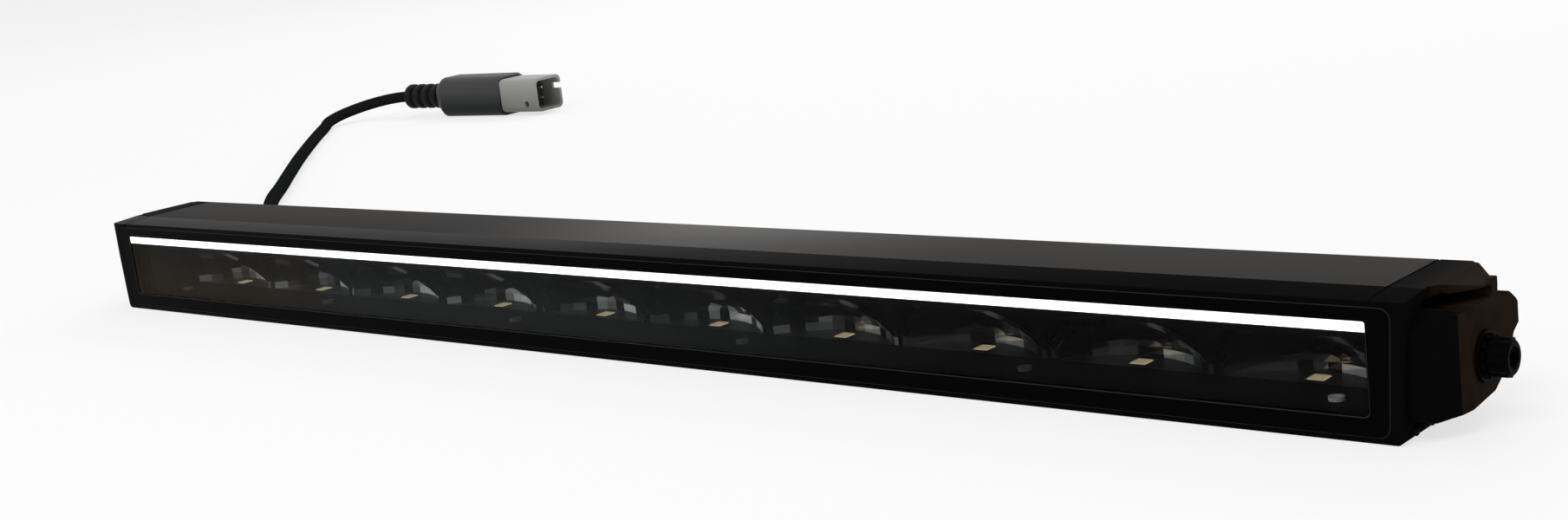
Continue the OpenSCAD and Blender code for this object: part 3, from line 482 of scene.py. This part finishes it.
# The brightest facets glow: painted glints.
painted_glint = (painted_light - 0.55).clamped() * 2 * (1 - bare)
mirror.drive(
    base_color=mirror.blend(bare, painted_reflection_colour, (0.012, 0.012, 0.014)),
    metallic=(1 - bare) * (1 - painted_light * 0.55),
    roughness=breath * 0.05 + 0.05 + bare * 0.3 + painted_light * 0.15,
    emission_color=mirror.blend(painted_glint, (0, 0, 0), (0.9, 1.0, 0.98)),
)
bowls = eased("reflectors", "metallised_bowls", 0, mirror, angle=2)
bowl_pitch, bowl_half, skirt_top, bowl_top = 51.5, 23.5, 8.2, 21.0
tones = bowls.data.attributes.new("painted_facet_light", "FLOAT", "FACE")
for face, tone in zip(bowls.data.polygons, tones.data):
    x, y, z = face.center / MM
    bowl = round(x / bowl_pitch - 0.5)
    across = (x - (bowl + 0.5) * bowl_pitch) / bowl_half
    up = max(0.0, (z - skirt_top) / (bowl_top - skirt_top))
    row = int(6 * abs(complex(across, up)))
    # A fixed number from 0 to 1 that looks random, the same over one patch of a bowl.
    mixed = 12.9898 * row + 78.233 * int(8 * up) + 37.719 * bowl + 4.7 * (across > 0)
    chance = sin(mixed) * 43758.5453 % 1
    if z < skirt_top - 0.1:
        # The upright facets at a bowl's foot get painted light unevenly, brightest to the right of
        # the LED.
        if across > 0 and row in (1, 2):
            tone.value = 1.0
        elif chance < 0.4:
            tone.value = 0.03
        else:
            tone.value = 0.3 + (0.65 if across > 0 else 0.4) * chance
    elif up < 0.16:
        tone.value = 0.3 + 0.5 * chance if abs(across) < 0.5 else 0.4 * chance
    elif across > 0.45 and up > 0.3:
        tone.value = 0.06 + 0.22 * chance
    else:
        tone.value = 0.07 * chance
    # The bowls at the right end get less painted light, as they are turned from the light.
    tone.value *= 1 - 0.28 * min(1, max(0, x / bowl_pitch - 0.8))


# The LEDs are flat ceramic packages soldered to their board, covered by a pale yellow
# phosphor square. The LEDs are off; the faint glow on the phosphor is painted light.
painted_glow_colour = (1.0, 0.84, 0.54, 1)
phosphor = Finish(
    "phosphor", roughness=0.45, emission_color=painted_glow_colour, emission_strength=0.45
)
speck = phosphor.noise(0.3, 2)
phosphor.drive(base_color=phosphor.blend(speck, (0.80, 0.60, 0.30), (0.92, 0.77, 0.49)))
dressed("led_packages", phosphor)


# The LED board is aluminium under white solder mask, and the strip and driver boards are
# glass fibre under green mask.
white_mask = Finish("white_mask", roughness=0.4)
white_mask.drive(base_color=white_mask.mottled(5, (0.62, 0.62, 0.60), (0.74, 0.74, 0.71)))
dressed("led_board", white_mask)
green_mask = Finish("green_mask", roughness=0.35)
green_mask.drive(base_color=green_mask.mottled(3, (0.012, 0.09, 0.03), (0.03, 0.16, 0.06)))
for node in ("strip_board", "driver_board"):
    dressed(node, green_mask)
ceramic = Finish("white_package", roughness=0.4)
ceramic.drive(base_color=ceramic.mottled(0.5, (0.75, 0.72, 0.60), (0.86, 0.84, 0.74)))
dressed("strip_leds", ceramic)


# The driver's coils and chips are moulded black, and its capacitors are plain metal cans. A
# grey gap pad lies under the LED board, and the supply leads are insulated in black.
moulded = Finish("moulded_black", roughness=0.55)
moulded.drive(base_color=moulded.mottled(0.6, (0.015, 0.015, 0.016), (0.03, 0.03, 0.032)))
for node in ("driver_coils", "driver_chips", "plug_insert"):
    dressed(node, moulded)
can = Finish("capacitor_can", metallic=1.0)
can.drive(
    base_color=can.mottled(2, (0.5, 0.5, 0.52), (0.66, 0.66, 0.68)),
    roughness=can.noise(1) * 0.2 + 0.25,
)
dressed("driver_capacitors", can)
pad = Finish("gap_pad", roughness=0.8)
pad.drive(base_color=pad.mottled(0.8, (0.30, 0.33, 0.36), (0.38, 0.41, 0.45)))
dressed("thermal_pad", pad)
insulation = Finish("lead_insulation", roughness=0.5, specular_ior_level=0.05)
insulation.drive(base_color=insulation.mottled(1, (0.005, 0.005, 0.006), (0.012, 0.012, 0.013)))
dressed("supply_leads", insulation)


# The strain relief is moulded onto the cable in the same black rubber as its jacket, and its
# ribs let it bend evenly.
relief = eased("strain_relief", "ribbed_relief", 0.25, jacket)


# The plug's body is moulded over the cable's end in a dark slate elastomer with a fine matt
# texture. It is painted paler on top and darker below, painted light and shade from above. Its
# ringed boot is the same elastomer, but blacker.
slate = Finish("slate_overmould", specular_ior_level=0.12)
matt = slate.noise(0.4, 3)
worn = slate.noise(14, 3)
# Paler on top, darker below: painted light and shade from above.
painted_top_light = slate.ramp(2, 6, 17.1) * 0.85 + worn * 0.15
slate.drive(
    base_color=slate.blend(painted_top_light, (0.0065, 0.0072, 0.0078), (0.0520, 0.0530, 0.0520)),
    roughness=worn * 0.15 + 0.42,
    normal=slate.relief(matt, 0.03, 0.5),
)
boot_skin = Finish("boot_elastomer", specular_ior_level=0.06)
wear = boot_skin.noise(5, 3)
boot_skin.drive(
    base_color=boot_skin.blend(wear, (0.0060, 0.0070, 0.0072), (0.0155, 0.0165, 0.0178)),
    roughness=wear * 0.15 + 0.42,
)
boot = eased("plug_boot", "ringed_boot", 0.4, boot_skin)
body = eased("plug_body", "moulded_plug_body", 0.5, slate, segments=3)


# The plug's shell is moulded in light warm grey, with a keyway and a latch hole at its mouth,
# round four tinned pins.
grey = Finish("warm_grey", specular_ior_level=0.4)
grain = grey.noise(10, 3)
# The shell's grey is painted paler on top and darker below, painted light and shade from above.
painted_shell_top_light = grey.ramp(2, 4, 20.7) * 0.8 + grain * 0.2
grey.drive(
    base_color=grey.blend(painted_shell_top_light, (0.125, 0.125, 0.115), (0.300, 0.300, 0.283)),
    roughness=grain * 0.1 + 0.42,
)
shell = eased("plug_shell", "open_plug_shell", 0.35, grey, segments=3)
tin = Finish("tinned_brass", metallic=1.0)
tin.drive(
    base_color=tin.mottled(0.8, (0.62, 0.58, 0.45), (0.72, 0.69, 0.58)),
    roughness=tin.noise(0.5) * 0.1 + 0.25,
)
pins = dressed("plug_pins", tin)

cable_length = sum((b - a).length for a, b in zip(cable_line, cable_line[1:]))


# The stage is a white floor under soft studio light. Rays from the camera, and those that
# metal and glass send back, see it nearly as plain white, and it keeps the lamp's shadow.
floor_size = 40
floor_mesh = bpy.data.meshes.new("floor")
plane = bmesh.new()
bmesh.ops.create_grid(plane, x_segments=1, y_segments=1, size=floor_size / 2)
plane.to_mesh(floor_mesh)
plane.free()
floor = bpy.data.objects.new("floor", floor_mesh)
bpy.context.scene.collection.objects.link(floor)
paper = Finish("paper_floor", base_color=(0.8, 0.8, 0.8, 1), roughness=0.9, specular_ior_level=0.0)
seen = paper.node("ShaderNodeLightPath", out="Is Camera Ray")
glossy = paper.node("ShaderNodeLightPath", out="Is Glossy Ray")
through = paper.node("ShaderNodeLightPath", out="Is Transmission Ray")
white = paper.node("ShaderNodeEmission", None, {"Color": (1, 1, 1, 1), "Strength": 1.0})
white_share = (seen + glossy + through).clamped() * 0.7
sheet = Term(paper, paper.shader.outputs[0])
surface = paper.node("ShaderNodeMixShader", None, {0: white_share, 1: sheet, 2: white})
paper.join(surface, paper.tree.nodes["Material Output"].inputs["Surface"])
floor.data.materials.append(paper.material)

world = bpy.data.worlds.new("studio")
world.use_nodes = True
bpy.context.scene.world = world
sky = world.node_tree
paths = sky.nodes.new("ShaderNodeLightPath")
either = sky.nodes.new("ShaderNodeMath")
either.operation = "MAXIMUM"
sky.links.new(paths.outputs["Is Camera Ray"], either.inputs[0])
sky.links.new(paths.outputs["Is Glossy Ray"], either.inputs[1])
light_level, seen_level = 0.75, 1.0
level = sky.nodes.new("ShaderNodeMapRange")
level.inputs["To Min"].default_value = light_level
level.inputs["To Max"].default_value = seen_level
sky.links.new(either.outputs[0], level.inputs["Value"])
sky.links.new(level.outputs[0], sky.nodes["Background"].inputs["Strength"])
sky.nodes["Background"].inputs["Color"].default_value = (1, 1, 1, 1)


def soft_box(name, place, size, power):
    """An area lamp that faces the middle of the object."""
    lamp = bpy.data.lights.new(name, "AREA")
    lamp.shape = "RECTANGLE"
    lamp.size, lamp.size_y = size
    lamp.energy = power
    holder = bpy.data.objects.new(name, lamp)
    way = -Vector(place)
    turn = way.to_track_quat("-Z", "Y").to_matrix().to_4x4()
    holder.matrix_world = Matrix.Translation(place) @ turn
    bpy.context.scene.collection.objects.link(holder)


soft_box("key_light", place=(0.3, -1.2, 1.6), size=(1.2, 0.8), power=14)
soft_box("back_light", place=(-0.6, 1.6, 1.2), size=(1.6, 0.6), power=10)

bpy.context.scene.view_settings.view_transform = "Standard"
